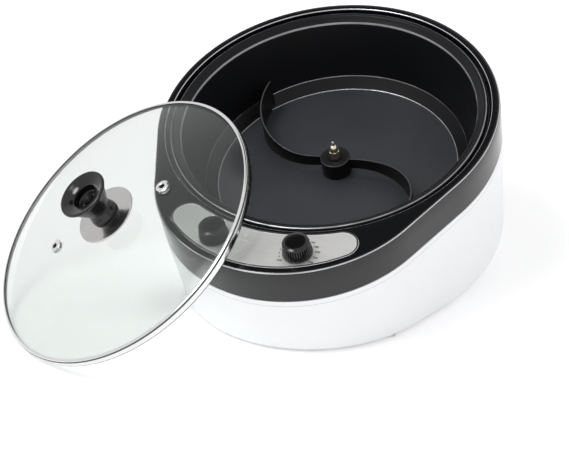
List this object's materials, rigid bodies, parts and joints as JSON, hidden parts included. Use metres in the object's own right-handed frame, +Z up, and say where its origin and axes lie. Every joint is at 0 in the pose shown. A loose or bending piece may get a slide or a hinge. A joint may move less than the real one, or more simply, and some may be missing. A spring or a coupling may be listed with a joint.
{
  "type": "home coffee bean roaster",
  "caption": "Countertop roaster: white drum leaning forward, black oval ring with brushed panel and two knobs, dark pan with S-shaped stirring blade, loose domed glass lid leaning on it.",
  "frame": {"origin": "on the table, straight below the point where the drum axis meets the ring's top plane", "axes": "+Z up, -Y to the control panel, +X to the right as seen from the panel; the drum axis leans 17 degrees from +Z towards -Y"},
  "size_m": [0.3916, 0.4238, 0.1869],
  "materials": {
    "shell_white": "smooth moulded white plastic, low gloss",
    "ring_black": "polished black plastic",
    "panel_silver": "fine straight brushing, clear lacquer",
    "pan_coating": "charcoal non-stick coating over pressed aluminium",
    "seal_grey": "heat-proof silicone",
    "stirrer_black": "heat-proof black plastic, satin",
    "brass_pale": "turned pale brass",
    "steel_plain": "bright turned steel",
    "steel_polished": "polished stainless steel",
    "zinc_plated": "zinc-plated steel",
    "element_sheath": "oxidised steel sheath",
    "support_ceramic": "unglazed ceramic-filled insulating blocks",
    "shield_aluminised": "aluminised sheet",
    "motor_grey": "grey painted steel can",
    "unit_cream": "cream moulding compound",
    "knob_black": "black plastic, slight gloss",
    "terminal_white": "white insulating plastic",
    "gland_black": "black rubber",
    "base_grey": "dark grey textured plastic",
    "foot_rubber": "soft black rubber",
    "lid_glass": "clear toughened glass, faint green"
  },
  "bodies": {
    "housing": {"body_shell": "shell_white", "top_ring": "ring_black", "ring_screws": "zinc_plated", "control_panel": "panel_silver", "roasting_pan": "pan_coating", "pan_seal": "seal_grey", "shaft_bush": "brass_pale", "bush_nut": "zinc_plated", "heating_element": "element_sheath", "element_supports": "support_ceramic", "heat_shield": "shield_aluminised", "shield_screws": "zinc_plated", "motor_bracket": "zinc_plated", "bracket_screws": "zinc_plated", "gearbox": "steel_plain", "gearbox_screws": "zinc_plated", "motor_can": "motor_grey", "timer_unit": "unit_cream", "thermostat_unit": "unit_cream", "neck_nuts": "zinc_plated", "thermal_cutout": "shield_aluminised", "terminal_block": "terminal_white", "cord_gland": "gland_black", "base_cover": "base_grey", "base_screws": "zinc_plated", "feet": "foot_rubber"},
    "stirring": {"stirrer": "stirrer_black", "hub_nut": "brass_pale", "nut_washer": "brass_pale", "drive_shaft": "steel_plain"},
    "timer_dial": {"timer_knob": "knob_black", "timer_spindle": "steel_plain"},
    "thermostat_dial": {"thermostat_knob": "knob_black", "thermostat_spindle": "steel_plain"},
    "lid": {"lid_glass": "lid_glass", "lid_rim": "steel_polished", "knob_plate": "steel_polished", "lid_knob": "knob_black", "lid_screw": "brass_pale", "lid_washer": "gland_black", "vent_grommets": "steel_polished"}
  },
  "joints": [
    {"name": "stir_spin", "type": "hinge", "parent": "housing", "child": "stirring", "pos_m": [0, 0, 0.145], "axis": [0, -0.2924, 0.9563], "continuous": true},
    {"name": "timer_turn", "type": "hinge", "parent": "housing", "child": "timer_dial", "pos_m": [-0.036, -0.15014, 0.0991], "axis": [0, -0.2924, 0.9563], "range_deg": [-300, 0]},
    {"name": "thermostat_turn", "type": "hinge", "parent": "housing", "child": "thermostat_dial", "pos_m": [0.036, -0.15014, 0.0991], "axis": [0, -0.2924, 0.9563], "range_deg": [-270, 0]},
    {"name": "lid_lift", "type": "slide", "parent": "housing", "child": "lid", "axis": [0, 0, 1], "range_m": [0, 0.25]}
  ]
}
